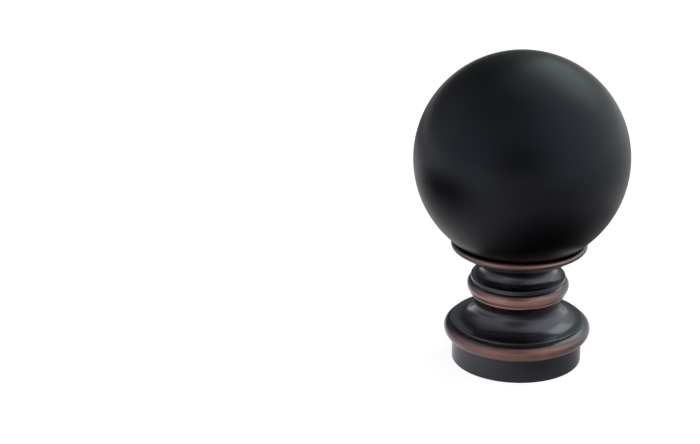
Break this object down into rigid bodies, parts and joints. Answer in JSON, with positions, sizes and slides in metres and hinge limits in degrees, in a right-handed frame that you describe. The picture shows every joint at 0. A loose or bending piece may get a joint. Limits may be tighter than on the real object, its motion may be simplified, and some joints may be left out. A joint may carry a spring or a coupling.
{
  "type": "curtain pole finial",
  "caption": "Ball finial with a turned neck, flange and ring beads and a cup under the ball, for the end of a round curtain pole.",
  "frame": {"origin": "centre of the socket's rim, on the plane that the finial stands on", "axes": "+Z along the axis of the turning, from the pole socket to the top of the ball; +Y towards the grub screw at the rear"},
  "size_m": [0.06, 0.06, 0.09],
  "materials": {
    "base_finish": "satin",
    "ball_finish": "satin",
    "plated_steel": "satin",
    "black_steel": "satin"
  },
  "bodies": {
    "root": {"base": "base_finish", "ball": "ball_finish", "fixing_screw": "plated_steel", "spring_washer": "plated_steel", "grub_screw": "black_steel"}
  },
  "joints": []
}
